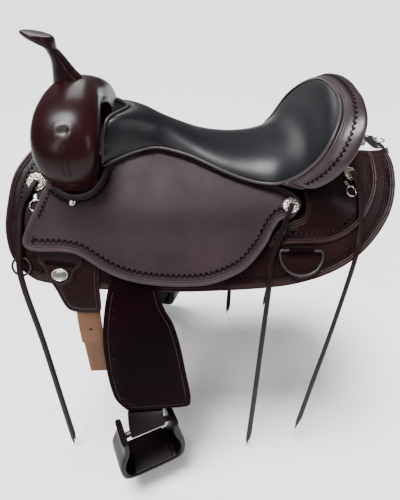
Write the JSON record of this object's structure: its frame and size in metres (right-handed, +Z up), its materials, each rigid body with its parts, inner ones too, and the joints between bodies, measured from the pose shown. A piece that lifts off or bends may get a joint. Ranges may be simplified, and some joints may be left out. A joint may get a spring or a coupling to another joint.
{
  "type": "trail saddle",
  "caption": "Western trail saddle on its tree, with padded seat, skirts, fenders, hanging stirrups, saddle strings and rigging hardware.",
  "frame": {"origin": "top of the rack or of the horse's back, under the middle of the saddle", "axes": "+Z up, -X towards the horse's head, -Y the near (left) side"},
  "size_m": [0.7126, 0.6648, 0.8882],
  "materials": {
    "brown_leather": "dark oiled, semi-gloss",
    "wrapped_leather": "semi-gloss",
    "jockey_leather": "matte, worn",
    "padded_seat_leather": "soft, semi-gloss",
    "silver": "polished",
    "horn_steel": "plain",
    "latigo_leather": "natural, matte",
    "fleece": "wool pile",
    "tree_wood": "covered"
  },
  "bodies": {
    "saddle": {"cantle_back": "brown_leather", "cantle_roll": "brown_leather", "crupper_plate": "silver", "fleece_left": "fleece", "fleece_right": "fleece", "fork_screw_left": "silver", "fork_screw_right": "silver", "front_concho_left": "silver", "front_concho_right": "silver", "front_string_left": "brown_leather", "front_string_right": "brown_leather", "ground_seat": "brown_leather", "horn_core": "horn_steel", "horn_cover": "brown_leather", "latigo_left": "latigo_leather", "mid_concho_left": "silver", "mid_concho_right": "silver", "mid_string_left": "brown_leather", "mid_string_right": "brown_leather", "off_billet_right": "latigo_leather", "rear_concho_left": "silver", "rear_concho_right": "silver", "rear_dee_keeper_left": "brown_leather", "rear_dee_keeper_right": "brown_leather", "rear_jockey_left": "brown_leather", "rear_jockey_right": "brown_leather", "rear_string_left": "brown_leather", "rear_string_right": "brown_leather", "rigging_plate_left": "brown_leather", "rigging_plate_right": "brown_leather", "rigging_tab_left": "brown_leather", "rigging_tab_right": "brown_leather", "seat_cushion": "padded_seat_leather", "seat_jockey_left": "jockey_leather", "seat_jockey_right": "jockey_leather", "skirt_left": "brown_leather", "skirt_right": "brown_leather", "swell_cover": "brown_leather", "tree_bar_left": "tree_wood", "tree_bar_right": "tree_wood", "tree_cantle": "tree_wood", "tree_fork": "tree_wood"},
    "fender_leg_left": {"fender_left": "brown_leather", "stirrup_leather_left": "brown_leather", "stirrup_bolt_left": "silver"},
    "fender_leg_right": {"fender_right": "brown_leather", "stirrup_leather_right": "brown_leather", "stirrup_bolt_right": "silver"},
    "stirrup_left": {"stirrup_left": "wrapped_leather"},
    "rear_dee_left": {"rear_dee_left": "silver"},
    "breast_ring_left": {"breast_ring_left": "silver"},
    "front_clip_dee_left": {"front_clip_dee_left": "silver"},
    "rear_clip_dee_left": {"rear_clip_dee_left": "silver"},
    "stirrup_right": {"stirrup_right": "wrapped_leather"},
    "rear_dee_right": {"rear_dee_right": "silver"},
    "breast_ring_right": {"breast_ring_right": "silver"},
    "front_clip_dee_right": {"front_clip_dee_right": "silver"},
    "rear_clip_dee_right": {"rear_clip_dee_right": "silver"},
    "crupper_dee": {"crupper_dee": "silver"}
  },
  "joints": [
    {"name": "fender_swing_left", "type": "hinge", "parent": "saddle", "child": "fender_leg_left", "pos_m": [-0.125, -0.14408, -0.06366], "axis": [0, -0.8829, 0.4695], "range_deg": [-25, 12]},
    {"name": "stirrup_swing_left", "type": "hinge", "parent": "fender_leg_left", "child": "stirrup_left", "pos_m": [-0.125, -0.27683, -0.48362], "axis": [0.9272, 0.3746, 0], "range_deg": [-40, 40]},
    {"name": "rear_dee_swing_left", "type": "hinge", "parent": "saddle", "child": "rear_dee_left", "pos_m": [0.17, -0.18621, -0.10909], "axis": [-0.9961, 0.0885, 0], "range_deg": [0, 90]},
    {"name": "breast_ring_swing_left", "type": "hinge", "parent": "saddle", "child": "breast_ring_left", "pos_m": [-0.322, -0.17527, -0.11266], "axis": [-0.045, -0.8952, 0.4434], "range_deg": [-25, 25]},
    {"name": "front_clip_dee_swing_left", "type": "hinge", "parent": "saddle", "child": "front_clip_dee_left", "pos_m": [-0.294, -0.11963, -0.03093], "axis": [0.0872, -0.7519, 0.6535], "range_deg": [-25, 25]},
    {"name": "rear_clip_dee_swing_left", "type": "hinge", "parent": "saddle", "child": "rear_clip_dee_left", "pos_m": [0.262, -0.11527, -0.02079], "axis": [0.245, -0.5718, 0.783], "range_deg": [-25, 25]},
    {"name": "fender_swing_right", "type": "hinge", "parent": "saddle", "child": "fender_leg_right", "pos_m": [-0.125, 0.14408, -0.06366], "axis": [0, 0.8829, 0.4695], "range_deg": [-12, 25]},
    {"name": "stirrup_swing_right", "type": "hinge", "parent": "fender_leg_right", "child": "stirrup_right", "pos_m": [-0.125, 0.27683, -0.48362], "axis": [0.9272, -0.3746, 0], "range_deg": [-40, 40]},
    {"name": "rear_dee_swing_right", "type": "hinge", "parent": "saddle", "child": "rear_dee_right", "pos_m": [0.17, 0.18621, -0.10909], "axis": [0.9961, 0.0885, 0], "range_deg": [0, 90]},
    {"name": "breast_ring_swing_right", "type": "hinge", "parent": "saddle", "child": "breast_ring_right", "pos_m": [-0.322, 0.17527, -0.11266], "axis": [-0.045, 0.8952, 0.4434], "range_deg": [-25, 25]},
    {"name": "front_clip_dee_swing_right", "type": "hinge", "parent": "saddle", "child": "front_clip_dee_right", "pos_m": [-0.294, 0.11963, -0.03093], "axis": [0.0872, 0.7519, 0.6535], "range_deg": [-25, 25]},
    {"name": "rear_clip_dee_swing_right", "type": "hinge", "parent": "saddle", "child": "rear_clip_dee_right", "pos_m": [0.262, 0.11527, -0.02079], "axis": [0.245, 0.5718, 0.783], "range_deg": [-25, 25]},
    {"name": "crupper_dee_swing", "type": "hinge", "parent": "saddle", "child": "crupper_dee", "pos_m": [0.347, 0, 0.02176], "axis": [0, -1, 0], "range_deg": [0, 150]}
  ]
}
